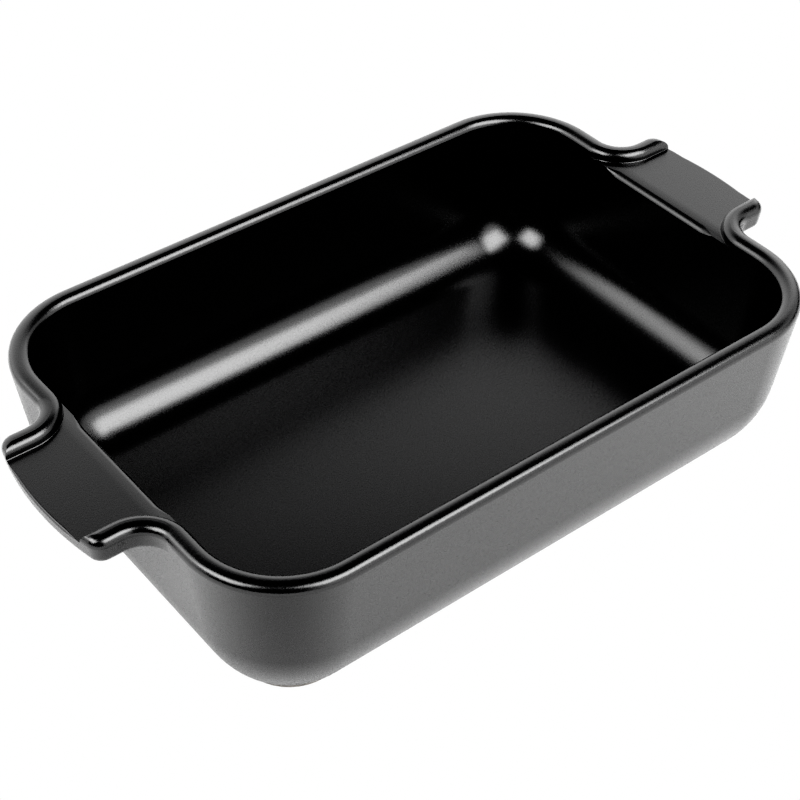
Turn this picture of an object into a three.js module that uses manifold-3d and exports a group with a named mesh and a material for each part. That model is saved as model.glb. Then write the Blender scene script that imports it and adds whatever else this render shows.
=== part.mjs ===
// Individual baking dish: a deep oblong stoneware basin with a lug handle at each end,
// covered by a black satin glaze that leaves only the foot bare.
// Millimetres, +Z up. The foot stands on z = 0 and the handles lie along X.
import * as THREE from 'three';
import { mergeVertices, toCreasedNormals } from 'three/addons/utils/BufferGeometryUtils.js';
import Module from 'manifold-3d';

const wasm = await Module();
wasm.setup();

// Basin, outside
const BODY_LENGTH = 188; // over the rim, along X
const BODY_WIDTH = 127.6; // over the rim, along Y
const HEIGHT = 49.8; // table to rim
const CORNER_RADIUS = 27.3; // in plan, at the rim
const WALL_DRAFT = 7.1; // lean of the walls, degrees
const BASE_ROUND = 32.2; // wall down to the foot
const BASE_SLANT = 48.2; // lean of the surface where the round meets the foot, degrees
const RIM_OUTER_ROUND = 2.2;

// Basin, inside
const WALL = 5.6; // through the wall at the rim
const FLOOR = 6.2; // through the floor
const FLOOR_ROUND = 15.5; // floor into the wall
const RIM_INNER_ROUND = 1.7;

// Foot
const FOOT_HEIGHT = 1.5; // table to the glazed base
const FOOT_WIDTH = 5;
const FOOT_CHAMFER = 0.25;
const FOOT_ROOT = 2.4; // how far the foot runs up into the clay

// Handles
const HANDLE_WIDTH = 45.4; // over the two lips
const HANDLE_SWEEP = 7.2; // radius where the rim turns out into a lip
const HANDLE_SIDE = 3.5; // straight run of a lip
const HANDLE_CORNER = 4; // tip corners, in plan
const HANDLE_BOW = 95; // radius of the bowed end
const HANDLE_THICKNESS = 7.4; // lip to underside
const HANDLE_UNDER_ROUND = 1.8;
const HANDLE_ROOT_ROUND = 3; // underside into the wall
const PLATE_DROP = 2.9; // lips to the plate between them
const PLATE_FILLET = 1.1; // plate into the lips
const PLATE_EDGE_ROUND = 1.5; // plate over the inner wall and over the tip

// Glaze
const GLAZE = 0.5;
const GLAZE_GAP = 0.3; // between the glaze and the clay that it covers

const GLAZE_COLOUR = 0x0d0d0e;
const CLAY_COLOUR = 0x9a9288;

// Steps along each kind of curve: fine for the surface that shows, coarse below it
const FINE = { corner: 10, sweep: 6, tip: 4, bow: 6, fillet: 9, round: 5 };
const COARSE = { corner: 6, sweep: 4, tip: 3, bow: 4, fillet: 6, round: 3 };

const OVERCUT = 2; // how far a cutter runs past what it cuts
const LEAST_RADIUS = 0.3;
const LEAST_REACH = 0.1; // where a surface runs out into its neighbour
const HALF_LENGTH = BODY_LENGTH / 2;
const HALF_WIDTH = BODY_WIDTH / 2;
const HANDLE_HALF = HANDLE_WIDTH / 2;
const SWEEP_X = HALF_LENGTH + HANDLE_SWEEP;
const SWEEP_Y = HANDLE_HALF + HANDLE_SWEEP;
const PLATE_Z = HEIGHT - PLATE_DROP;
const CLAY_DEPTH = GLAZE + GLAZE_GAP;
const LEAN = THREE.MathUtils.degToRad(WALL_DRAFT);
const SLANT = THREE.MathUtils.degToRad(BASE_SLANT);
const BASE_CENTRE_Z = FOOT_HEIGHT + BASE_ROUND * Math.sin(SLANT);
const QUARTER = Math.PI / 2;

// Values from a to b, both ends included
function steps(a, b, count) {
  return Array.from({ length: count + 1 }, (_, i) => THREE.MathUtils.lerp(a, b, i / count));
}

function arc(x, y, radius, from, to, count) {
  const curve = new THREE.EllipseCurve(x, y, radius, radius, from, to, to < from);
  return curve.getPoints(count);
}

function level(points, z) {
  return points.map((p) => new THREE.Vector3(p.x, p.y, z));
}

// Triangles across a flat ring of points, turning the way that the ring turns
function capFaces(ring) {
  const normal = new THREE.Vector3();
  ring.forEach((p, i) => {
    const q = ring[(i + 1) % ring.length];
    normal.x += (p.y - q.y) * (p.z + q.z);
    normal.y += (p.z - q.z) * (p.x + q.x);
    normal.z += (p.x - q.x) * (p.y + q.y);
  });
  const upright = Math.abs(normal.z) > normal.length() / 2;
  const sideways = Math.abs(normal.x) > Math.abs(normal.y);
  const flat = ring.map((p) => {
    if (upright) return new THREE.Vector2(p.x, p.y);
    return sideways ? new THREE.Vector2(p.y, p.z) : new THREE.Vector2(p.x, p.z);
  });
  const faces = THREE.ShapeUtils.triangulateShape(flat, []);
  const clockwise = THREE.ShapeUtils.isClockWise(flat);
  return clockwise ? faces.map(([a, b, c]) => [a, c, b]) : faces;
}

function volumeOf(position, index) {
  const a = new THREE.Vector3();
  const b = new THREE.Vector3();
  const c = new THREE.Vector3();
  let volume = 0;
  for (let i = 0; i < index.length; i += 3) {
    a.fromBufferAttribute(position, index[i]);
    b.fromBufferAttribute(position, index[i + 1]);
    c.fromBufferAttribute(position, index[i + 2]);
    volume += a.dot(b.cross(c)) / 6;
  }
  return volume;
}

function solid(geometry) {
  geometry.deleteAttribute('normal');
  geometry.deleteAttribute('uv');
  const merged = mergeVertices(geometry);
  const position = merged.getAttribute('position');
  const triVerts = Uint32Array.from(merged.getIndex().array);
  if (volumeOf(position, triVerts) < 0) triVerts.reverse();
  const vertProperties = Float32Array.from(position.array);
  return new wasm.Manifold(new wasm.Mesh({ numProp: 3, vertProperties, triVerts }));
}

// Skin over a row of rings with equal counts; a loop joins the last ring to the first
function loft(rings, loop = false) {
  const count = rings[0].length;
  const geometry = new THREE.BufferGeometry().setFromPoints(rings.flat());
  const index = [];
  const spans = loop ? rings.length : rings.length - 1;
  for (let r = 0; r < spans; r++) {
    const low = r * count;
    const high = ((r + 1) % rings.length) * count;
    for (let i = 0; i < count; i++) {
      const j = (i + 1) % count;
      index.push(low + i, low + j, high + j);
      index.push(low + i, high + j, high + i);
    }
  }
  if (!loop) {
    const last = (rings.length - 1) * count;
    capFaces(rings[0]).forEach(([a, b, c]) => index.push(c, b, a));
    capFaces(rings.at(-1)).forEach(([a, b, c]) => index.push(last + a, last + b, last + c));
  }
  geometry.setIndex(index);
  return solid(geometry);
}

// Rounded rectangle, drawn in from the rim's outline by an inset
function bodyRing(inset, z, detail) {
  const radius = Math.max(CORNER_RADIUS - inset, LEAST_RADIUS);
  const x = HALF_LENGTH - inset - radius;
  const y = HALF_WIDTH - inset - radius;
  const corners = [
    [x, y],
    [-x, y],
    [-x, -y],
    [x, -y],
  ];
  const points = corners.flatMap(([cx, cy], k) => {
    return arc(cx, cy, radius, k * QUARTER, (k + 1) * QUARTER, detail.corner);
  });
  return level(points, z);
}

// How far the outer wall stands in from the rim's outline at a height
function outerInset(z, depth) {
  const top = HEIGHT - RIM_OUTER_ROUND * (1 + Math.sin(LEAN));
  const start = RIM_OUTER_ROUND * (1 - Math.cos(LEAN));
  return start + Math.max(top - z, 0) * Math.tan(LEAN) + depth / Math.cos(LEAN);
}

function innerInset(z) {
  const top = HEIGHT - RIM_INNER_ROUND * (1 - Math.sin(LEAN));
  const start = WALL - RIM_INNER_ROUND * (1 - Math.cos(LEAN));
  return start + Math.max(top - z, 0) * Math.tan(LEAN);
}

// Section of the rim's outer edge, from the wall up to the crest
function rimEdge(depth, detail) {
  const radius = Math.max(RIM_OUTER_ROUND - depth, LEAST_RADIUS);
  return steps(-LEAN, QUARTER, detail.round).map((angle) => ({
    inset: RIM_OUTER_ROUND - radius * Math.cos(angle),
    z: HEIGHT - depth - radius * (1 - Math.sin(angle)),
  }));
}

// The basin filled in: base, base round, leaning wall and rim edge
function bodyBlock(depth, detail) {
  const centre = outerInset(BASE_CENTRE_Z, 0) + BASE_ROUND / Math.cos(LEAN);
  const radius = BASE_ROUND - depth;
  const foot = Math.asin((BASE_CENTRE_Z - FOOT_HEIGHT - depth) / radius);
  const base = steps(foot, LEAN, detail.fillet).map((angle) => ({
    inset: centre - radius * Math.cos(angle),
    z: BASE_CENTRE_Z - radius * Math.sin(angle),
  }));
  const profile = [...base, ...rimEdge(depth, detail)];
  return loft(profile.map(({ inset, z }) => bodyRing(inset, z, detail)));
}

// The hollow of the basin: floor, floor round, leaning wall and the rim's inner edge
function hollow(depth, detail) {
  const centreZ = FOOT_HEIGHT + FLOOR + FLOOR_ROUND;
  const centre = innerInset(centreZ) + FLOOR_ROUND / Math.cos(LEAN);
  const radius = FLOOR_ROUND + depth;
  const floor = steps(QUARTER, LEAN, detail.fillet).map((angle) => ({
    inset: centre - radius * Math.cos(angle),
    z: centreZ - radius * Math.sin(angle),
  }));
  const edge = Math.max(RIM_INNER_ROUND - depth, LEAST_RADIUS);
  const rim = steps(LEAN, QUARTER, detail.round).map((angle) => ({
    inset: WALL - RIM_INNER_ROUND + edge * Math.cos(angle),
    z: HEIGHT - depth - edge * (1 - Math.sin(angle)),
  }));
  const mouth = { inset: WALL - RIM_INNER_ROUND, z: HEIGHT + OVERCUT };
  const profile = [...floor, ...rim, mouth];
  return loft(profile.map(({ inset, z }) => bodyRing(inset, z, detail)));
}

// Centres of the tip's corners and of its bow, on the handle at +X
const TIP_X = SWEEP_X + HANDLE_SIDE;
const TIP_Y = HANDLE_HALF - HANDLE_CORNER;
const BOW_ANGLE = Math.asin(TIP_Y / (HANDLE_BOW - HANDLE_CORNER));
const BOW_X = TIP_X - (HANDLE_BOW - HANDLE_CORNER) * Math.cos(BOW_ANGLE);

// Outline of a handle: the rim turns out, runs along the lip and rounds the bowed tip
function handleOutline(inset, detail) {
  const sweep = HANDLE_SWEEP + inset;
  const corner = Math.max(HANDLE_CORNER - inset, LEAST_RADIUS);
  const bow = arc(BOW_X, 0, HANDLE_BOW - inset, -BOW_ANGLE, BOW_ANGLE, detail.bow);
  const low = [
    ...arc(SWEEP_X, -SWEEP_Y, sweep, Math.PI, QUARTER, detail.sweep),
    ...arc(TIP_X, -TIP_Y, corner, -QUARTER, -BOW_ANGLE, detail.tip),
  ];
  const high = low.map((p) => new THREE.Vector2(p.x, -p.y)).reverse();
  return [...low, ...bow.slice(1, -1), ...high];
}

// One level of a handle; reach pulls its outline back towards the wall
function handleRing(z, extra, reach, depth, detail) {
  const inset = outerInset(z, depth);
  const root = HALF_LENGTH - inset;
  const outline = handleOutline(inset + extra, detail).map((p) => {
    const out = Math.max(p.x - root, 0) * reach;
    return new THREE.Vector2(root + out + Math.min(p.x - root, 0), p.y);
  });
  const seat = HALF_LENGTH - WALL;
  const inside = [new THREE.Vector2(seat, SWEEP_Y), new THREE.Vector2(seat, -SWEEP_Y)];
  return level([...outline, ...inside], z);
}

// A handle before its plate is sunk, on the side at +X
function handleBlock(depth, detail) {
  const under = HEIGHT - HANDLE_THICKNESS + depth;
  const reach = BOW_X + HANDLE_BOW - HALF_LENGTH;
  const root = HANDLE_ROOT_ROUND + depth;
  const centreZ = HEIGHT - HANDLE_THICKNESS - HANDLE_ROOT_ROUND;
  const round = Math.max(HANDLE_UNDER_ROUND - depth, LEAST_RADIUS);
  const rootRings = steps(Math.PI, QUARTER, detail.round).map((angle) => {
    const out = Math.max(HANDLE_ROOT_ROUND + root * Math.cos(angle), LEAST_REACH) / reach;
    const z = centreZ + root * Math.sin(angle);
    return handleRing(z, round, out, depth, detail);
  });
  const underRings = steps(0, QUARTER, detail.round).map((angle) => {
    const z = under + round * (1 - Math.cos(angle));
    return handleRing(z, round * (1 - Math.sin(angle)), 1, depth, detail);
  });
  const seat = HALF_LENGTH - WALL;
  const inside = [new THREE.Vector2(seat, SWEEP_Y), new THREE.Vector2(seat, -SWEEP_Y)];
  const rimRings = rimEdge(depth, detail).map(({ inset, z }) => {
    return level([...handleOutline(inset, detail), ...inside], z);
  });
  return loft([...rootRings, ...underRings, ...rimRings]);
}

// Outline between the lips, open to the basin and past the tip
function recessRing(inset, z, detail) {
  const far = BOW_X + HANDLE_BOW + OVERCUT;
  const near = HALF_LENGTH - WALL - FLOOR_ROUND;
  const radius = HANDLE_SWEEP + inset;
  const side = [
    new THREE.Vector2(near, SWEEP_Y),
    ...arc(SWEEP_X, SWEEP_Y, radius, Math.PI, 3 * QUARTER, detail.sweep),
    new THREE.Vector2(far, HANDLE_HALF - inset),
  ];
  const mirrored = side.map((p) => new THREE.Vector2(p.x, -p.y)).reverse();
  return level([...side, ...mirrored], z);
}

// Space over the sunk plate: flat, filleted into the lips, whose inner edges are round
function recess(depth, detail) {
  const fillet = PLATE_FILLET + depth;
  const edge = Math.max(RIM_INNER_ROUND - depth, LEAST_RADIUS);
  const low = steps(0, QUARTER, detail.round).map((angle) => {
    const z = PLATE_Z + PLATE_FILLET - fillet * Math.cos(angle);
    return { inset: innerInset(z) + PLATE_FILLET - fillet * Math.sin(angle), z };
  });
  const high = steps(LEAN, QUARTER, detail.round).map((angle) => ({
    inset: WALL - RIM_INNER_ROUND + edge * Math.cos(angle),
    z: HEIGHT - depth - edge * (1 - Math.sin(angle)),
  }));
  const mouth = { inset: WALL - RIM_INNER_ROUND, z: HEIGHT + OVERCUT };
  return loft([...low, ...high, mouth].map(({ inset, z }) => recessRing(inset, z, detail)));
}

// Rounds off the plate's two ends: over the inner wall and over the bowed tip
function plateEdges(depth, detail) {
  const radius = Math.max(PLATE_EDGE_ROUND - depth, LEAST_RADIUS);
  const z = PLATE_Z - depth;
  const lift = depth + LEAST_REACH;
  const section = [
    new THREE.Vector2(OVERCUT, lift),
    new THREE.Vector2(-radius - lift, lift),
    ...arc(-radius, -radius, radius, QUARTER, 0, detail.round),
    new THREE.Vector2(OVERCUT, -radius),
  ];
  const wallX = HALF_LENGTH - innerInset(z) + depth / Math.cos(LEAN);
  const inner = [-SWEEP_Y, SWEEP_Y].map((y) => {
    return section.map((p) => new THREE.Vector3(wallX - p.x, y, z + p.y));
  });
  const tipRadius = HANDLE_BOW - outerInset(z, depth);
  const outer = steps(-BOW_ANGLE, BOW_ANGLE, detail.bow).map((angle) => {
    return section.map((p) => {
      const out = tipRadius + p.x;
      return new THREE.Vector3(BOW_X + out * Math.cos(angle), out * Math.sin(angle), z + p.y);
    });
  });
  const edge = innerInset(PLATE_Z) + PLATE_FILLET - depth;
  const plate = loft([z - radius, z + lift].map((end) => recessRing(edge, end, detail)));
  return loft(inner).add(loft(outer)).intersect(plate);
}

// The dish as it stands at a depth below the glazed surface
function dish(depth, detail) {
  const handle = handleBlock(depth, detail);
  const sunk = recess(depth, detail).add(plateEdges(depth, detail));
  const turned = [0, 0, 180];
  return bodyBlock(depth, detail)
    .add(handle)
    .add(handle.rotate(turned))
    .subtract(sunk)
    .subtract(sunk.rotate(turned))
    .subtract(hollow(depth, detail));
}

// The foot stands where the base round ends
const FOOT_INSET =
  outerInset(BASE_CENTRE_Z, 0) + BASE_ROUND / Math.cos(LEAN) - BASE_ROUND * Math.cos(SLANT);

// Foot: a ring of bare clay with chamfered edges, rooted in the base
function footRing() {
  const outer = FOOT_INSET;
  const inner = FOOT_INSET + FOOT_WIDTH;
  const top = FOOT_HEIGHT + CLAY_DEPTH + FOOT_ROOT;
  const profile = [
    [outer, top],
    [outer, FOOT_CHAMFER],
    [outer + FOOT_CHAMFER, 0],
    [inner - FOOT_CHAMFER, 0],
    [inner, FOOT_CHAMFER],
    [inner, top],
  ];
  return loft(profile.map(([inset, z]) => bodyRing(inset, z, FINE)), true);
}

function slab(inset, low, high) {
  return loft([bodyRing(inset, low, FINE), bodyRing(inset, high, FINE)]);
}

function box(low, high) {
  const size = new THREE.Vector3().subVectors(high, low);
  const centre = new THREE.Vector3().addVectors(low, high).multiplyScalar(0.5);
  const geometry = new THREE.BoxGeometry(size.x, size.y, size.z);
  return solid(geometry.translate(centre.x, centre.y, centre.z));
}

// Clay: the basin, and the handles joined to it on a flat face under the rim's outline
const clay = dish(CLAY_DEPTH, COARSE);
const handleSpace = box(
  new THREE.Vector3(HALF_LENGTH, -SWEEP_Y, 0),
  new THREE.Vector3(BOW_X + HANDLE_BOW + OVERCUT, SWEEP_Y, HEIGHT + OVERCUT),
);
const handleSpaceLeft = handleSpace.rotate([0, 0, 180]);
const basin = clay.subtract(handleSpace).subtract(handleSpaceLeft).add(footRing());
const handleRight = clay.intersect(handleSpace);
const handleLeft = clay.intersect(handleSpaceLeft);

// Glaze: one coat over all that shows, stopping at the foot, and a patch inside the foot
const footClear = slab(
  FOOT_INSET - GLAZE_GAP,
  -OVERCUT,
  FOOT_HEIGHT + CLAY_DEPTH + FOOT_ROOT,
);
const glazeCoat = dish(0, FINE).subtract(dish(GLAZE, COARSE)).subtract(footClear);
const baseGlaze = slab(
  FOOT_INSET + FOOT_WIDTH + GLAZE_GAP,
  FOOT_HEIGHT,
  FOOT_HEIGHT + GLAZE,
);

function mesh(name, body, material) {
  const { vertProperties, triVerts } = body.getMesh();
  const geometry = new THREE.BufferGeometry();
  geometry.setAttribute('position', new THREE.BufferAttribute(vertProperties, 3));
  geometry.setIndex(new THREE.BufferAttribute(triVerts, 1));
  const piece = new THREE.Mesh(toCreasedNormals(geometry, Math.PI / 6), material);
  piece.name = name;
  return piece;
}

function clayMaterial() {
  return new THREE.MeshStandardMaterial({ color: CLAY_COLOUR, roughness: 0.85, metalness: 0 });
}

function glazeMaterial() {
  return new THREE.MeshStandardMaterial({ color: GLAZE_COLOUR, roughness: 0.35, metalness: 0 });
}

const bakingDish = new THREE.Group();
bakingDish.name = 'baking_dish';
bakingDish.add(
  mesh('basin', basin, clayMaterial()),
  mesh('handle_left', handleLeft, clayMaterial()),
  mesh('handle_right', handleRight, clayMaterial()),
  mesh('glaze_coat', glazeCoat, glazeMaterial()),
  mesh('base_glaze', baseGlaze, glazeMaterial()),
);

export default bakingDish;
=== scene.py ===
import math

import bmesh
import bpy
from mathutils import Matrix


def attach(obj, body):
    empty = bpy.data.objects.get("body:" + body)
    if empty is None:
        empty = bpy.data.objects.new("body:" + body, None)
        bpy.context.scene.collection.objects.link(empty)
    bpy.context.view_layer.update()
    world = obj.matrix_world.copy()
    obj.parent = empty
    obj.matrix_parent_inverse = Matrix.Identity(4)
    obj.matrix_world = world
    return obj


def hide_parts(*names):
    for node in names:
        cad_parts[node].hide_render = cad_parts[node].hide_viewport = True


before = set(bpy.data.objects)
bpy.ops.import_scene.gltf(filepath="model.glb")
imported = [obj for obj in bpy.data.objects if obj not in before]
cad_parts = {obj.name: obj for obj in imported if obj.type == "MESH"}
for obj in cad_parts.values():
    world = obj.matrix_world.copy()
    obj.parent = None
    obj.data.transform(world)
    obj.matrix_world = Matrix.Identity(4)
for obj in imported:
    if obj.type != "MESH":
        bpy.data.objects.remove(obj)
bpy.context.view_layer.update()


# ---------------------------------------------------------------------------
# The dish body and its two lugs: stoneware, pressed in a mould, the lugs luted
# to the end walls and all fired as one. The glaze hides them but for the foot,
# a narrow ring wiped bare that the dish stands on.
# ---------------------------------------------------------------------------

STONEWARE_PALE = (0.33, 0.31, 0.285, 1.0)
STONEWARE_DARK = (0.17, 0.158, 0.145, 1.0)
STONEWARE_GRIT = (0.06, 0.052, 0.046, 1.0)
STONEWARE_GRIT_SCALE = 700.0
STONEWARE_GRIT_SIZE = 0.55
STONEWARE_GRAIN = 900.0
STONEWARE_ROUGHNESS = 0.82
STONEWARE_BUMP = 0.25
STONEWARE_BUMP_DEPTH = 0.0002

GRAIN_DETAIL = 3.0
GRAIN_ROUGHNESS = 0.55
GRAIN_LOW = 0.3  # nearly all of the grain lies between these two levels
GRAIN_HIGH = 0.7
SPECK_PATCH_SCALE = 160.0  # the specks grow and shrink in patches of this scale
SPECK_PATCH_DETAIL = 1.0


def make_fired_grain():
    """Fine fired grain with scattered specks: a mask of the specks and a height for the bump."""
    group = bpy.data.node_groups.new("fired_grain", "ShaderNodeTree")
    face = group.interface
    face.new_socket("Grain Scale", in_out="INPUT", socket_type="NodeSocketFloat")
    face.new_socket("Speck Scale", in_out="INPUT", socket_type="NodeSocketFloat")
    face.new_socket("Speck Size", in_out="INPUT", socket_type="NodeSocketFloat")
    face.new_socket("Specks", in_out="OUTPUT", socket_type="NodeSocketFloat")
    face.new_socket("Grain", in_out="OUTPUT", socket_type="NodeSocketFloat")
    nodes, links = group.nodes, group.links
    inside = nodes.new("NodeGroupInput")
    outside = nodes.new("NodeGroupOutput")
    place = nodes.new("ShaderNodeTexCoord")
    grain = nodes.new("ShaderNodeTexNoise")
    grain.inputs["Detail"].default_value = GRAIN_DETAIL
    grain.inputs["Roughness"].default_value = GRAIN_ROUGHNESS
    specks = nodes.new("ShaderNodeTexVoronoi")
    specks.feature = "F1"
    specks.inputs["Randomness"].default_value = 1.0
    patches = nodes.new("ShaderNodeTexNoise")
    patches.inputs["Scale"].default_value = SPECK_PATCH_SCALE
    patches.inputs["Detail"].default_value = SPECK_PATCH_DETAIL
    reach = nodes.new("ShaderNodeMath")
    reach.operation = "MULTIPLY"
    near = nodes.new("ShaderNodeMapRange")
    near.interpolation_type = "SMOOTHSTEP"
    near.inputs["To Min"].default_value = 1.0
    near.inputs["To Max"].default_value = 0.0
    links.new(place.outputs["Object"], grain.inputs["Vector"])
    links.new(place.outputs["Object"], specks.inputs["Vector"])
    links.new(place.outputs["Object"], patches.inputs["Vector"])
    links.new(inside.outputs["Grain Scale"], grain.inputs["Scale"])
    links.new(inside.outputs["Speck Scale"], specks.inputs["Scale"])
    links.new(inside.outputs["Speck Size"], reach.inputs[0])
    links.new(patches.outputs["Fac"], reach.inputs[1])
    links.new(specks.outputs["Distance"], near.inputs["Value"])
    links.new(reach.outputs["Value"], near.inputs["From Max"])
    links.new(near.outputs["Result"], outside.inputs["Specks"])
    links.new(grain.outputs["Fac"], outside.inputs["Grain"])
    return group


fired_grain = make_fired_grain()


def make_stoneware():
    """Bare fired clay: dull warm grey with dark grit and a dry, open grain."""
    stoneware = bpy.data.materials.new("bare_stoneware")
    stoneware.use_nodes = True
    nodes, links = stoneware.node_tree.nodes, stoneware.node_tree.links
    shader = nodes["Principled BSDF"]
    shader.inputs["Roughness"].default_value = STONEWARE_ROUGHNESS
    clay = nodes.new("ShaderNodeGroup")
    clay.node_tree = fired_grain
    clay.inputs["Grain Scale"].default_value = STONEWARE_GRAIN
    clay.inputs["Speck Scale"].default_value = STONEWARE_GRIT_SCALE
    clay.inputs["Speck Size"].default_value = STONEWARE_GRIT_SIZE
    tone = nodes.new("ShaderNodeValToRGB")
    tone.color_ramp.elements[0].position = GRAIN_LOW
    tone.color_ramp.elements[0].color = STONEWARE_DARK
    tone.color_ramp.elements[1].position = GRAIN_HIGH
    tone.color_ramp.elements[1].color = STONEWARE_PALE
    grit = nodes.new("ShaderNodeMix")
    grit.data_type = "RGBA"
    grit.inputs["B"].default_value = STONEWARE_GRIT
    bump = nodes.new("ShaderNodeBump")
    bump.inputs["Strength"].default_value = STONEWARE_BUMP
    bump.inputs["Distance"].default_value = STONEWARE_BUMP_DEPTH
    links.new(clay.outputs["Grain"], tone.inputs["Fac"])
    links.new(tone.outputs["Color"], grit.inputs["A"])
    links.new(clay.outputs["Specks"], grit.inputs["Factor"])
    links.new(grit.outputs["Result"], shader.inputs["Base Color"])
    links.new(clay.outputs["Grain"], bump.inputs["Height"])
    links.new(bump.outputs["Normal"], shader.inputs["Normal"])
    return stoneware


def cover(node_name, finish):
    """Gives a CAD node that stays in view its finish."""
    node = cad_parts[node_name]
    node.data.materials.clear()
    node.data.materials.append(finish)


stoneware = make_stoneware()
for clay_node in ("basin", "handle_left", "handle_right"):
    cover(clay_node, stoneware)


# ---------------------------------------------------------------------------
# The glazed dish: the black glaze over body and lugs as one smooth skin, from
# the wiped foot up over the rim and down to the basin floor. Dipped and fired,
# so every edge is soft; the rim sweeps out into two lips beside each plate.
# ---------------------------------------------------------------------------

HALF_LENGTH = 0.094
HALF_WIDTH = 0.0638
HEIGHT = 0.0498
CORNER_RADIUS = 0.0273
LEAN = math.radians(7.1)
RIM_OUTER_ROUND = 0.0021
RIM_INNER_ROUND = 0.0025
RIM_DOME = 0.005
DOME_OUT = math.radians(15)
DOME_IN = math.radians(6)
BASE_ROUND = 0.0322
BASE_CENTRE_Z = 0.0255
GLAZE_LINE_Z = 0.0017
FLOOR_Z = 0.0077
FLOOR_ROUND = 0.0155

CORNER_STEPS = 20
FILLET_STEPS = 18
RIM_STEPS = 8
DOME_STEPS = 4

SAME = 2e-6  # two heights or places closer than this are one
NEAR = 0.00005  # the same after forms were joined and merged
HAIR = 0.00002  # keeps the faces of two forms from lying in one plane
CREST_FLAT = 0.00006  # the crest stays flat over this width where the inside is cut out
OVERCUT = 0.002  # how far a cutting form stands above the rim


def lay_plane(name, low_x, high_x, half_y, z):
    """A flat rectangle, symmetric in y, left in edit mode and all selected."""
    bpy.ops.object.select_all(action="DESELECT")
    bpy.ops.mesh.primitive_plane_add(size=1)
    piece = bpy.context.active_object
    piece.name = piece.data.name = name
    bpy.ops.object.mode_set(mode="EDIT")
    bpy.ops.transform.resize(value=(high_x - low_x, 2 * half_y, 1), center_override=(0, 0, 0))
    bpy.ops.transform.translate(value=((low_x + high_x) / 2, 0, z))
    return piece


def pick(piece, kind, test):
    """Selects only the vertices, edges or faces whose corners all pass the test."""
    bpy.ops.mesh.select_mode(type=kind)
    bpy.ops.mesh.select_all(action="DESELECT")
    mesh = bmesh.from_edit_mesh(piece.data)
    items = {"VERT": mesh.verts, "EDGE": mesh.edges, "FACE": mesh.faces}[kind]
    for item in items:
        corners = [item] if kind == "VERT" else item.verts
        if all(test(corner.co) for corner in corners):
            item.select_set(True)
    mesh.select_flush_mode()
    bmesh.update_edit_mesh(piece.data)


def at(value, target):
    """Whether a height or place is the wanted one."""
    return abs(value - target) < SAME


def round_corners(piece, test, radius, steps):
    """Rounds the corners of a flat outline that pass the test."""
    pick(piece, "VERT", test)
    bpy.ops.mesh.bevel(offset=radius, segments=steps, affect="VERTICES", clamp_overlap=False)


def raise_block(piece, depth):
    """Pulls the whole outline down into a closed block."""
    bpy.ops.mesh.select_mode(type="FACE")
    bpy.ops.mesh.select_all(action="SELECT")
    bpy.ops.mesh.extrude_region_move(TRANSFORM_OT_translate={"value": (0, 0, -depth)})
    bpy.ops.mesh.select_all(action="SELECT")
    bpy.ops.mesh.normals_make_consistent(inside=False)


def draw_in(piece, z, profile, side):
    """Insets the flat face at z along a profile of (inset, height), upwards (1) or downwards (-1)."""
    pick(piece, "FACE", lambda co: at(co.z, z))
    for (inset, height), (next_inset, next_height) in zip(profile, profile[1:]):
        bpy.ops.mesh.inset(
            thickness=next_inset - inset,
            depth=(next_height - height) * side,
            use_boundary=True,
            use_even_offset=True,
        )


DOME_OUT_DROP = RIM_DOME * (1 - math.cos(DOME_OUT))
DOME_IN_DROP = RIM_DOME * (1 - math.cos(DOME_IN))
CREST = RIM_OUTER_ROUND * (1 - math.sin(DOME_OUT)) + RIM_DOME * math.sin(DOME_OUT)
WIDEST_Z = HEIGHT - DOME_OUT_DROP - RIM_OUTER_ROUND * math.cos(DOME_OUT)
UPPER_Z = WIDEST_Z - RIM_OUTER_ROUND * math.sin(LEAN)


def rim_outer():
    """The rim's outer edge and the outer half of its domed crest as (inset, height)."""
    profile = []
    for i in range(RIM_STEPS + 1):
        a = (math.pi / 2 - DOME_OUT) * i / RIM_STEPS
        inset = RIM_OUTER_ROUND * (1 - math.cos(a))
        profile.append((inset, WIDEST_Z + RIM_OUTER_ROUND * math.sin(a)))
    for i in range(1, DOME_STEPS + 1):
        a = DOME_OUT * (1 - i / DOME_STEPS)
        profile.append((CREST - RIM_DOME * math.sin(a), HEIGHT - RIM_DOME * (1 - math.cos(a))))
    return profile


def rim_inner(slope):
    """The inner half of the crest and the rim's inner edge, down to where it falls at a slope."""
    profile = []
    for i in range(DOME_STEPS):
        a = DOME_IN * i / DOME_STEPS
        profile.append((CREST + RIM_DOME * math.sin(a), HEIGHT - RIM_DOME * (1 - math.cos(a))))
    dome_end = CREST + (RIM_DOME - RIM_INNER_ROUND) * math.sin(DOME_IN)
    for i in range(RIM_STEPS + 1):
        a = DOME_IN + (slope - DOME_IN) * i / RIM_STEPS
        drop = RIM_INNER_ROUND * (math.cos(DOME_IN) - math.cos(a))
        profile.append((dome_end + RIM_INNER_ROUND * math.sin(a), HEIGHT - DOME_IN_DROP - drop))
    return profile


def outer_inset(z):
    """How far the leaning outer wall stands inside the rim's outline at a height."""
    return RIM_OUTER_ROUND * (1 - math.cos(LEAN)) + max(UPPER_Z - z, 0) * math.tan(LEAN)


def inner_inset(z):
    """How far the basin's leaning inner wall stands inside the rim's outline at a height."""
    inset, top = rim_inner(math.pi / 2 - LEAN)[-1]
    return inset + max(top - z, 0) * math.tan(LEAN)


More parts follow.
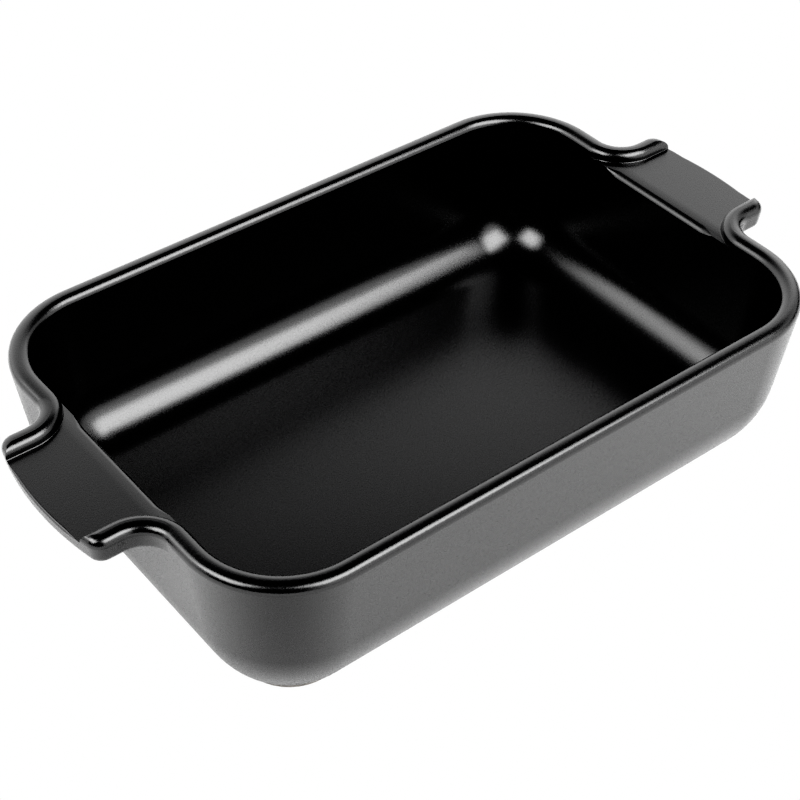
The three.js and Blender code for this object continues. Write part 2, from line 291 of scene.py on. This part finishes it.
def make_solid_body():
    """The dish without its hollow, as one solid with its rounded base."""
    body = lay_plane("glazed_dish", -HALF_LENGTH, HALF_LENGTH, HALF_WIDTH, WIDEST_Z)
    round_corners(body, lambda co: True, CORNER_RADIUS, CORNER_STEPS)
    raise_block(body, WIDEST_Z - UPPER_Z)
    draw_in(body, WIDEST_Z, rim_outer(), 1)
    centre = outer_inset(BASE_CENTRE_Z) + BASE_ROUND / math.cos(LEAN)
    glaze_line = math.asin((BASE_CENTRE_Z - GLAZE_LINE_Z) / BASE_ROUND)
    wall = [(0.0, UPPER_Z)]
    for i in range(FILLET_STEPS + 1):
        a = LEAN + (glaze_line - LEAN) * i / FILLET_STEPS
        wall.append((centre - BASE_ROUND * math.cos(a), BASE_CENTRE_Z - BASE_ROUND * math.sin(a)))
    draw_in(body, UPPER_Z, wall, -1)
    bpy.ops.object.mode_set(mode="OBJECT")
    return body


def make_hollow():
    """The room inside the basin, from above the rim down to the rounded floor."""
    inset = CREST + CREST_FLAT
    hollow = lay_plane(
        "basin_room", inset - HALF_LENGTH, HALF_LENGTH - inset, HALF_WIDTH - inset, HEIGHT + OVERCUT
    )
    round_corners(hollow, lambda co: True, CORNER_RADIUS - inset, CORNER_STEPS)
    raise_block(hollow, OVERCUT)
    centre_z = FLOOR_Z + FLOOR_ROUND
    centre = inner_inset(centre_z) + FLOOR_ROUND / math.cos(LEAN)
    profile = rim_inner(math.pi / 2 - LEAN)
    for i in range(FILLET_STEPS + 1):
        a = LEAN + (math.pi / 2 - LEAN) * i / FILLET_STEPS
        profile.append((centre - FLOOR_ROUND * math.cos(a), centre_z - FLOOR_ROUND * math.sin(a)))
    draw_in(hollow, HEIGHT, profile, -1)
    bpy.ops.object.mode_set(mode="OBJECT")
    return hollow


HANDLE_HALF = 0.0227
HANDLE_SWEEP = 0.0072
HANDLE_SIDE = 0.0035
HANDLE_CORNER = 0.004
HANDLE_BOW = 0.095
HANDLE_UNDER_Z = 0.0424
HANDLE_UNDER_ROUND = 0.0018
LUG_IN_WALL = 0.009
LUG_STRIP_HALF = 0.034

SWEEP_STEPS = 14
TIP_STEPS = 8
BOW_STEPS = 18
UNDER_STEPS = 5

TIP_X = HALF_LENGTH + HANDLE_SWEEP + HANDLE_SIDE
TIP_Y = HANDLE_HALF - HANDLE_CORNER
BOW_ANGLE = math.asin(TIP_Y / (HANDLE_BOW - HANDLE_CORNER))
BOW_X = TIP_X - (HANDLE_BOW - HANDLE_CORNER) * math.cos(BOW_ANGLE)


def tip_curve():
    """The lug's end in plan, between the ends of its straight sides: corner, bow, corner."""
    corner = []
    for i in range(1, TIP_STEPS + 1):
        a = math.pi / 2 + (BOW_ANGLE - math.pi / 2) * i / TIP_STEPS
        corner.append((TIP_X + HANDLE_CORNER * math.cos(a), TIP_Y + HANDLE_CORNER * math.sin(a)))
    bow = []
    for i in range(1, BOW_STEPS):
        a = BOW_ANGLE - 2 * BOW_ANGLE * i / BOW_STEPS
        bow.append((BOW_X + HANDLE_BOW * math.cos(a), HANDLE_BOW * math.sin(a)))
    return corner + bow + [(x, -y) for x, y in reversed(corner)]


def lay_lug_outline(name, back_x, wall_x, half_y, neck_half, end_x, z):
    """A strip along the wall with a lug drawn out of its middle, as one flat face."""
    piece = lay_plane(name, back_x, wall_x, half_y, z)
    pick(piece, "EDGE", lambda co: at(co.x, wall_x))
    bpy.ops.mesh.subdivide(number_cuts=2)
    pick(piece, "VERT", lambda co: at(co.x, wall_x) and abs(co.y) < half_y / 2)
    bpy.ops.transform.resize(value=(1, neck_half / (half_y / 3), 1), center_override=(wall_x, 0, z))
    pick(piece, "EDGE", lambda co: at(co.x, wall_x) and abs(co.y) < neck_half + HAIR)
    bpy.ops.mesh.extrude_edges_move(TRANSFORM_OT_translate={"value": (end_x - wall_x, 0, 0)})
    pick(piece, "EDGE", lambda co: at(co.x, wall_x) and abs(co.y) < neck_half + HAIR)
    bpy.ops.mesh.dissolve_edges(use_verts=False)
    bpy.ops.mesh.select_all(action="SELECT")
    bpy.ops.mesh.normals_make_consistent(inside=False)
    return piece


def make_lug():
    """One lug at the +X end: rounded like the rim, with swept sides and a bowed tip."""
    wall_x = HALF_LENGTH - HAIR
    top_z = WIDEST_Z - HAIR
    lug = lay_lug_outline(
        "lug", HALF_LENGTH - LUG_IN_WALL, wall_x, LUG_STRIP_HALF, HANDLE_HALF, TIP_X, top_z
    )
    curve = tip_curve()
    pick(lug, "EDGE", lambda co: at(co.x, TIP_X))
    bpy.ops.mesh.subdivide(number_cuts=len(curve))
    tip = bmesh.from_edit_mesh(lug.data)
    end = [v for v in tip.verts if at(v.co.x, TIP_X) and abs(v.co.y) < HANDLE_HALF - HAIR]
    for vertex, (x, y) in zip(sorted(end, key=lambda v: -v.co.y), curve):
        vertex.co.x, vertex.co.y = x, y
    bmesh.update_edit_mesh(lug.data)
    round_corners(
        lug, lambda co: at(co.x, wall_x) and at(abs(co.y), HANDLE_HALF), HANDLE_SWEEP, SWEEP_STEPS
    )
    raise_block(lug, WIDEST_Z - UPPER_Z)
    rounded = [(inset, z - HAIR) for inset, z in rim_outer()]
    draw_in(lug, top_z, rounded, 1)
    side_end = HANDLE_UNDER_Z + HANDLE_UNDER_ROUND
    under = [(0.0, UPPER_Z - HAIR), (outer_inset(side_end), side_end)]
    for i in range(1, UNDER_STEPS + 1):
        a = math.pi / 2 * i / UNDER_STEPS
        under.append((
            outer_inset(side_end) + HANDLE_UNDER_ROUND * (1 - math.cos(a)),
            side_end - HANDLE_UNDER_ROUND * math.sin(a),
        ))
    draw_in(lug, UPPER_Z - HAIR, under, -1)
    bpy.ops.object.mode_set(mode="OBJECT")
    return lug


PLATE_Z = 0.0469
LIP_SLOPE = math.radians(80)
LIP_FILLET = 0.0003
LIP_STEPS = 5
RECESS_IN_BASIN = 0.03
RECESS_STRIP_HALF = 0.0364
RECESS_PAST_TIP = 0.02


def make_recess():
    """The room above one plate: between the two lips, open to the basin and past the tip."""
    inset = CREST + CREST_FLAT
    wall_x = HALF_LENGTH - inset - HAIR
    neck = HANDLE_HALF - inset
    recess = lay_lug_outline(
        "recess", HALF_LENGTH - RECESS_IN_BASIN, wall_x, RECESS_STRIP_HALF,
        neck, TIP_X + RECESS_PAST_TIP, HEIGHT + OVERCUT,
    )
    round_corners(
        recess, lambda co: at(co.x, wall_x) and at(abs(co.y), neck),
        HANDLE_SWEEP + inset, SWEEP_STEPS,
    )
    raise_block(recess, OVERCUT)
    profile = rim_inner(LIP_SLOPE)
    lip_inset, lip_end = profile[-1]
    fillet_top = PLATE_Z + LIP_FILLET * (1 - math.cos(LIP_SLOPE))
    start = lip_inset + (lip_end - fillet_top) / math.tan(LIP_SLOPE)
    for i in range(LIP_STEPS + 1):
        a = LIP_SLOPE * (1 - i / LIP_STEPS)
        profile.append((
            start + LIP_FILLET * (math.sin(LIP_SLOPE) - math.sin(a)),
            PLATE_Z + LIP_FILLET * (1 - math.cos(a)),
        ))
    draw_in(recess, HEIGHT, profile, -1)
    bpy.ops.object.mode_set(mode="OBJECT")
    return recess


def turned_copy(piece):
    """The same form for the other end of the dish, turned half round in its own mesh."""
    bpy.ops.object.select_all(action="DESELECT")
    piece.select_set(True)
    bpy.context.view_layer.objects.active = piece
    bpy.ops.object.duplicate()
    twin = bpy.context.active_object
    bpy.ops.object.mode_set(mode="EDIT")
    bpy.ops.mesh.select_all(action="SELECT")
    bpy.ops.transform.rotate(value=math.pi, orient_axis="Z", center_override=(0, 0, 0))
    bpy.ops.object.mode_set(mode="OBJECT")
    return twin


def carve(piece, tool, operation):
    """Joins a form to the piece, or cuts it away, and removes the form."""
    bpy.ops.object.select_all(action="DESELECT")
    bpy.context.view_layer.objects.active = piece
    step = piece.modifiers.new("carve", "BOOLEAN")
    step.operation = operation
    step.solver = "EXACT"
    step.object = tool
    bpy.ops.object.modifier_apply(modifier=step.name)
    bpy.data.objects.remove(tool, do_unlink=True)


MERGE = 0.00003


def clean(piece):
    """Merges what the joining left double and turns all faces outwards."""
    bpy.ops.object.mode_set(mode="EDIT")
    bpy.ops.mesh.select_all(action="SELECT")
    bpy.ops.mesh.remove_doubles(threshold=MERGE)
    bpy.ops.mesh.normals_make_consistent(inside=False)
    bpy.ops.object.mode_set(mode="OBJECT")


PLATE_FROM = 0.087
PLATE_ROLL = 0.033
ROLL_FROM = 0.0929
ROLL_REACH = 0.006
ROLL_CUTS = (ROLL_FROM, 0.092, 0.0911, 0.0902)


def roll_plate(piece):
    """Lets each plate fall away gently towards the basin."""
    bpy.ops.object.mode_set(mode="EDIT")
    for end in (-1, 1):
        for cut in ROLL_CUTS:
            pick(piece, "FACE", lambda co: end * co.x > PLATE_FROM and abs(co.z - PLATE_Z) < NEAR)
            bpy.ops.mesh.bisect(plane_co=(end * cut, 0, 0), plane_no=(1, 0, 0))
    mesh = bmesh.from_edit_mesh(piece.data)
    for vertex in mesh.verts:
        reach = ROLL_FROM - abs(vertex.co.x)
        if 0 < reach < ROLL_REACH and abs(vertex.co.z - PLATE_Z) < NEAR:
            vertex.co.z -= reach ** 2 / (2 * PLATE_ROLL)
    bmesh.update_edit_mesh(piece.data)
    bpy.ops.object.mode_set(mode="OBJECT")


LIPS_FROM = 0.0925
LIP_CUTS = (0.1072, 0.1058)


def steady_lips(piece):
    """Cuts across the lips just short of their ends, so that the rounding there stays local."""
    bpy.ops.object.mode_set(mode="EDIT")
    for end in (-1, 1):
        for cut in LIP_CUTS:
            pick(piece, "FACE", lambda co: end * co.x > LIPS_FROM and co.z > PLATE_Z - NEAR)
            bpy.ops.mesh.bisect(plane_co=(end * cut, 0, 0), plane_no=(1, 0, 0))
    bpy.ops.object.mode_set(mode="OBJECT")


LONG = 0.0015


def split_long(piece, test, cuts):
    """Cuts the long edges whose ends pass the test into short lengths."""
    bpy.ops.object.mode_set(mode="EDIT")
    pick(piece, "EDGE", test)
    mesh = bmesh.from_edit_mesh(piece.data)
    for edge in mesh.edges:
        if edge.select and edge.calc_length() < LONG:
            edge.select_set(False)
    bmesh.update_edit_mesh(piece.data)
    bpy.ops.mesh.subdivide(number_cuts=cuts)
    bpy.ops.object.mode_set(mode="OBJECT")


def soften(piece, least_angle, test, radius, steps):
    """Rounds the edges whose faces meet at more than an angle and whose ends pass the test."""
    bpy.ops.object.mode_set(mode="EDIT")
    bpy.ops.mesh.select_mode(type="EDGE")
    bpy.ops.mesh.select_all(action="DESELECT")
    mesh = bmesh.from_edit_mesh(piece.data)
    for edge in mesh.edges:
        sharp = edge.calc_face_angle(0) > least_angle
        if sharp and all(test(corner.co) for corner in edge.verts):
            edge.select_set(True)
    bmesh.update_edit_mesh(piece.data)
    bpy.ops.mesh.bevel(offset=radius, segments=steps, affect="EDGES", clamp_overlap=False)
    bpy.ops.object.mode_set(mode="OBJECT")


FADE_LEAST_ANGLE = math.radians(45)


def soften_fading(piece, test, share, radius, steps):
    """Rounds the sharp edges that pass the test, each by its own share of the radius."""
    bpy.ops.object.mode_set(mode="EDIT")
    mesh = bmesh.from_edit_mesh(piece.data)
    weight = mesh.edges.layers.float.new("bevel_weight_edge")
    for edge in mesh.edges:
        sharp = edge.calc_face_angle(0) > FADE_LEAST_ANGLE
        if sharp and all(test(corner.co) for corner in edge.verts):
            edge[weight] = share((edge.verts[0].co + edge.verts[1].co) / 2)
    bmesh.update_edit_mesh(piece.data)
    bpy.ops.object.mode_set(mode="OBJECT")
    bpy.context.view_layer.objects.active = piece
    step = piece.modifiers.new("soften", "BEVEL")
    step.limit_method = "WEIGHT"
    step.offset_type = "OFFSET"
    step.width = radius
    step.segments = steps
    step.use_clamp_overlap = False
    bpy.ops.object.modifier_apply(modifier=step.name)
    piece.data.attributes.remove(piece.data.attributes["bevel_weight_edge"])


OUTER_EDGE_ROUND = 0.0008
OUTER_EDGE_STEPS = 5
OUTER_EDGE_CUTS = 3
OUTER_FADE_FROM = 0.0109
OUTER_FADE_TO = 0.016
OUTER_LEAST_SHARE = 0.04


def on_outer_edge(co):
    """Whether a corner lies on a plate's bowed outer edge."""
    reach = math.hypot(abs(co.x) - BOW_X, co.y) + outer_inset(PLATE_Z)
    return abs(reach - HANDLE_BOW) < 2 * NEAR and abs(co.z - PLATE_Z) < NEAR


def outer_share(co):
    """Full in the middle of the bowed edge, almost none where the lips begin."""
    share = (OUTER_FADE_TO - abs(co.y)) / (OUTER_FADE_TO - OUTER_FADE_FROM)
    return max(OUTER_LEAST_SHARE, min(1.0, share))


INNER_EDGE_ROUND = 0.0017
INNER_EDGE_STEPS = 8
INNER_EDGE_CUTS = 59
INNER_EDGE_HALF = 0.0216
INNER_FADE = 0.005
INNER_LEAST_SHARE = 0.05
PLATE_INNER_X = HALF_LENGTH - inner_inset(PLATE_Z)
PLATE_INNER_Z = PLATE_Z - (ROLL_FROM - PLATE_INNER_X) ** 2 / (2 * PLATE_ROLL)


def on_inner_edge(co):
    """Whether a corner lies on the edge where a plate falls into the basin."""
    return abs(abs(co.x) - PLATE_INNER_X) < 2 * NEAR and abs(co.z - PLATE_INNER_Z) < NEAR


def inside_lips(co):
    """Whether a corner lies on that edge and clear of the lips."""
    return on_inner_edge(co) and abs(co.y) < INNER_EDGE_HALF


def inner_share(co):
    """Full in the middle of the plate's inner edge, almost none at its ends."""
    return max(INNER_LEAST_SHARE, min(1.0, (INNER_EDGE_HALF - abs(co.y)) / INNER_FADE))


ROOT_ROUND = 0.002
ROOT_STEPS = 6
ROOT_CUTS = 23
ROOT_LEAST_ANGLE = math.radians(80)
ROOT_FROM = 0.0925
ROOT_TO = 0.0938
ROOT_HALF = 0.0235


def on_root(co):
    """Whether a corner lies where a lug's flat underside meets the wall."""
    return ROOT_FROM < abs(co.x) < ROOT_TO and abs(co.z - HANDLE_UNDER_Z) < NEAR


def under_root(co):
    """Whether a corner lies at that height or lower, and not beside the lug."""
    low = ROOT_FROM < abs(co.x) < ROOT_TO and co.z < HANDLE_UNDER_Z + NEAR
    return low and abs(co.y) < ROOT_HALF


GLAZE_EDGE_ROUND = 0.00025
GLAZE_EDGE_STEPS = 2
GLAZE_EDGE_LEAST_ANGLE = math.radians(40)
GLAZE_EDGE_TOP = 0.002


def on_glaze_edge(co):
    """Whether a corner lies on the glaze's lower edge, just above the foot."""
    return co.z < GLAZE_EDGE_TOP


dish = make_solid_body()
lug = make_lug()
other_lug = turned_copy(lug)
carve(dish, lug, "UNION")
carve(dish, other_lug, "UNION")
recess = make_recess()
other_recess = turned_copy(recess)
carve(dish, recess, "DIFFERENCE")
carve(dish, other_recess, "DIFFERENCE")
carve(dish, make_hollow(), "DIFFERENCE")
clean(dish)
roll_plate(dish)
steady_lips(dish)
split_long(dish, on_outer_edge, OUTER_EDGE_CUTS)
soften_fading(dish, on_outer_edge, outer_share, OUTER_EDGE_ROUND, OUTER_EDGE_STEPS)
split_long(dish, on_inner_edge, INNER_EDGE_CUTS)
soften_fading(dish, inside_lips, inner_share, INNER_EDGE_ROUND, INNER_EDGE_STEPS)
split_long(dish, on_root, ROOT_CUTS)
soften(dish, ROOT_LEAST_ANGLE, under_root, ROOT_ROUND, ROOT_STEPS)
soften(dish, GLAZE_EDGE_LEAST_ANGLE, on_glaze_edge, GLAZE_EDGE_ROUND, GLAZE_EDGE_STEPS)

SMOOTH_ANGLE = math.radians(50)
FACE_WEIGHT = 50

bpy.ops.object.select_all(action="DESELECT")
dish.select_set(True)
bpy.context.view_layer.objects.active = dish
bpy.ops.object.shade_smooth_by_angle(angle=SMOOTH_ANGLE)
weigh = dish.modifiers.new("weigh", "WEIGHTED_NORMAL")
weigh.keep_sharp = True
weigh.weight = FACE_WEIGHT
bpy.ops.object.modifier_apply(modifier=weigh.name)

GLAZE_BLACK = (0.0012, 0.0012, 0.0013, 1.0)
GLAZE_FLECK = (0.006, 0.006, 0.0062, 1.0)
GLAZE_FLECK_SCALE = 1500.0
GLAZE_FLECK_SIZE = 0.5
GLAZE_GRAIN = 2200.0
GLAZE_IOR = 1.5
GLAZE_SMOOTHEST = 0.22
GLAZE_ROUGHEST = 0.3
GLAZE_BUMP = 0.1
GLAZE_BUMP_DEPTH = 0.0001


def make_glaze():
    """Black satin glaze: near-black and softly glossy, with faint pin-flecks and a fine skin."""
    glaze = bpy.data.materials.new("black_glaze")
    glaze.use_nodes = True
    nodes, links = glaze.node_tree.nodes, glaze.node_tree.links
    shader = nodes["Principled BSDF"]
    shader.inputs["IOR"].default_value = GLAZE_IOR
    skin = nodes.new("ShaderNodeGroup")
    skin.node_tree = fired_grain
    skin.inputs["Grain Scale"].default_value = GLAZE_GRAIN
    skin.inputs["Speck Scale"].default_value = GLAZE_FLECK_SCALE
    skin.inputs["Speck Size"].default_value = GLAZE_FLECK_SIZE
    colour = nodes.new("ShaderNodeMix")
    colour.data_type = "RGBA"
    colour.inputs["A"].default_value = GLAZE_BLACK
    colour.inputs["B"].default_value = GLAZE_FLECK
    gloss = nodes.new("ShaderNodeMapRange")
    gloss.inputs["From Min"].default_value = GRAIN_LOW
    gloss.inputs["From Max"].default_value = GRAIN_HIGH
    gloss.inputs["To Min"].default_value = GLAZE_SMOOTHEST
    gloss.inputs["To Max"].default_value = GLAZE_ROUGHEST
    bump = nodes.new("ShaderNodeBump")
    bump.inputs["Strength"].default_value = GLAZE_BUMP
    bump.inputs["Distance"].default_value = GLAZE_BUMP_DEPTH
    links.new(skin.outputs["Specks"], colour.inputs["Factor"])
    links.new(colour.outputs["Result"], shader.inputs["Base Color"])
    links.new(skin.outputs["Grain"], gloss.inputs["Value"])
    links.new(gloss.outputs["Result"], shader.inputs["Roughness"])
    links.new(skin.outputs["Grain"], bump.inputs["Height"])
    links.new(bump.outputs["Normal"], shader.inputs["Normal"])
    return glaze


glaze = make_glaze()
dish.data.materials.append(glaze)
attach(dish, "root")
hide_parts("glaze_coat")


# ---------------------------------------------------------------------------
# The glazed patch inside the foot: the same black glaze on the underside of
# the base, left where the wiped ring ends, a little above the table.
# ---------------------------------------------------------------------------

cover("base_glaze", glaze)


# ---------------------------------------------------------------------------
# The stage: a white floor in a dark studio, with a painted shade on the paper
# near the dish's front left corner, which the camera sees only in the glaze.
# Soft boxes stand in front and on the left, weaker ones at the back left and on
# the right, with a pale backdrop behind the dish and a low glow before it.
# ---------------------------------------------------------------------------

FLOOR_SIZE = 6.0
PAPER_ROUGHNESS = 0.9
PAPER_SPECULAR = 0.1
PAPER_PALE = 0.65
# The next three values paint a shade on the paper: its colour darkens to the first of them towards
# the given place, within the given reach.
PAPER_PAINTED_SHADE = 0.38
PAINTED_SHADE_PLACE = (-0.1, -0.075, 0.0)
PAINTED_SHADE_REACH = 0.075

bpy.ops.object.select_all(action="DESELECT")
bpy.ops.mesh.primitive_plane_add(size=FLOOR_SIZE, location=(0, 0, 0))
floor = bpy.context.active_object
floor.name = "floor"


def fade(nodes, links, value, start, end, first=0.0, last=1.0):
    """Goes softly from the first level to the last while a value goes from start to end."""
    step = nodes.new("ShaderNodeMapRange")
    step.interpolation_type = "SMOOTHSTEP"
    step.inputs["From Min"].default_value = start
    step.inputs["From Max"].default_value = end
    step.inputs["To Min"].default_value = first
    step.inputs["To Max"].default_value = last
    links.new(value, step.inputs["Value"])
    return step.outputs["Result"]


def make_floor_white():
    """White paper that the camera sees evenly lit; the glaze mirrors it lit by the lamps, with a
    painted shade near the dish's front left corner.
    """
    paper = bpy.data.materials.new("floor_white")
    paper.use_nodes = True
    nodes, links = paper.node_tree.nodes, paper.node_tree.links
    shader = nodes["Principled BSDF"]
    shader.inputs["Roughness"].default_value = PAPER_ROUGHNESS
    shader.inputs["Specular IOR Level"].default_value = PAPER_SPECULAR
    place = nodes.new("ShaderNodeTexCoord")
    away = nodes.new("ShaderNodeVectorMath")
    away.operation = "DISTANCE"
    away.inputs[1].default_value = PAINTED_SHADE_PLACE
    # Painted shade: the paper's colour is darker near the dish's front left corner.
    shade = fade(nodes, links, away.outputs["Value"], 0.0, PAINTED_SHADE_REACH, PAPER_PAINTED_SHADE, PAPER_PALE)
    even = nodes.new("ShaderNodeEmission")
    path = nodes.new("ShaderNodeLightPath")
    seen = nodes.new("ShaderNodeMixShader")
    links.new(place.outputs["Object"], away.inputs[0])
    links.new(shade, shader.inputs["Base Color"])
    links.new(path.outputs["Is Camera Ray"], seen.inputs["Fac"])
    links.new(shader.outputs["BSDF"], seen.inputs[1])
    links.new(even.outputs["Emission"], seen.inputs[2])
    links.new(seen.outputs["Shader"], nodes["Material Output"].inputs["Surface"])
    return paper


floor.data.materials.append(make_floor_white())

# The backdrop's brightness by how steeply a direction rises, and where it ends
BACKDROP = ((0.5, 2.5), (0.58, 2.1), (0.68, 1.45), (0.75, 0.45), (0.85, 0.01))
BACKDROP_ENDS = (0.15, 0.5)
BEYOND_BACKDROP = 0.01
GLOW = 2.7
GLOW_TOP = (0.45, 0.6)
GLOW_FRONT = (-0.3, -0.7)
GLOW_SIDE = (-0.4, 0.1)
WHITE = (1.0, 1.0, 1.0, 1.0)


def combine(nodes, links, operation, first, second):
    """Adds two levels, or multiplies them."""
    step = nodes.new("ShaderNodeMath")
    step.operation = operation
    links.new(first, step.inputs[0])
    links.new(second, step.inputs[1])
    return step.outputs["Value"]


def make_studio():
    """The room around the stage: backdrop behind, low glow in front, dark elsewhere."""
    studio = bpy.data.worlds.new("studio")
    studio.use_nodes = True
    nodes, links = studio.node_tree.nodes, studio.node_tree.links
    way = nodes.new("ShaderNodeTexCoord")
    parts = nodes.new("ShaderNodeSeparateXYZ")
    links.new(way.outputs["Generated"], parts.inputs["Vector"])
    across, back, up = (parts.outputs[axis] for axis in "XYZ")
    rise = nodes.new("ShaderNodeValToRGB")
    links.new(up, rise.inputs["Fac"])
    ramp = rise.color_ramp.elements
    ramp[0].position = BACKDROP[0][0]
    ramp[1].position = BACKDROP[-1][0]
    for position, level in BACKDROP[1:-1]:
        ramp.new(position)
    for step, (position, level) in zip(ramp, BACKDROP):
        step.color = (level, level, level, 1.0)
    behind = fade(nodes, links, back, *BACKDROP_ENDS, BEYOND_BACKDROP)
    low = fade(nodes, links, up, *GLOW_TOP, GLOW, 0.0)
    before = fade(nodes, links, back, *GLOW_FRONT)
    beside = fade(nodes, links, across, *GLOW_SIDE)
    backdrop = combine(nodes, links, "MULTIPLY", rise.outputs["Color"], behind)
    glow = combine(nodes, links, "MULTIPLY", low, before)
    glow = combine(nodes, links, "MULTIPLY", glow, beside)
    room = combine(nodes, links, "ADD", backdrop, glow)
    path = nodes.new("ShaderNodeLightPath")
    seen = nodes.new("ShaderNodeMix")
    seen.data_type = "RGBA"
    seen.inputs["B"].default_value = WHITE
    links.new(path.outputs["Is Camera Ray"], seen.inputs["Factor"])
    links.new(room, seen.inputs["A"])
    links.new(seen.outputs["Result"], nodes["Background"].inputs["Color"])
    return studio


bpy.context.scene.world = make_studio()


def soft_box(name, place, width, depth, watts):
    """A rectangular soft light at a place, facing the dish."""
    bpy.ops.object.light_add(type="AREA", location=place)
    light = bpy.context.active_object
    light.name = name
    light.data.shape = "RECTANGLE"
    light.data.size = width
    light.data.size_y = depth
    light.data.energy = watts
    x, y, z = place
    light.rotation_euler = (math.atan2(math.hypot(x, y), z), 0, math.atan2(-y, -x) - math.pi / 2)


soft_box("front_box", place=(0.199, -0.575, 0.792), width=0.806, depth=0.558, watts=23.6)
soft_box("left_box", place=(-0.69, 0.082, 0.72), width=0.558, depth=0.496, watts=14.0)
soft_box("back_left_box", place=(-0.64, 0.5, 0.58), width=0.337, depth=0.487, watts=2.2)
soft_box("right_box", place=(0.9, 0.0, 0.5), width=1.063, depth=0.443, watts=2.1)

CAMERA_PLACE = (-0.22432698, -0.27632422, 0.33288363)
CAMERA_TURN = (0.84819038, -0.00787255, -0.66595498)
CAMERA_SENSOR = 36.0
CAMERA_LENS = 79.2234
CAMERA_NEAREST = 0.01

bpy.ops.object.camera_add(location=CAMERA_PLACE)
camera = bpy.context.active_object
camera.rotation_euler = CAMERA_TURN
camera.data.sensor_width = CAMERA_SENSOR
camera.data.lens = CAMERA_LENS
camera.data.clip_start = CAMERA_NEAREST
bpy.context.scene.camera = camera

# Deep blacks: levels under the toe fall softly to almost nothing, and white stays white
TOE = 0.04
TOE_SOFT = 0.007
TOE_STEPS = 10

view = bpy.context.scene.view_settings
view.view_transform = "Standard"
view.use_curve_mapping = True
toe = view.curve_mapping.curves[3]
for i in range(1, TOE_STEPS + 1):
    level = 2 * TOE * i / TOE_STEPS
    toe.points.new(level, TOE_SOFT * math.log(1 + math.exp((level - TOE) / TOE_SOFT)))
for point in toe.points:
    point.handle_type = "VECTOR"
view.curve_mapping.update()
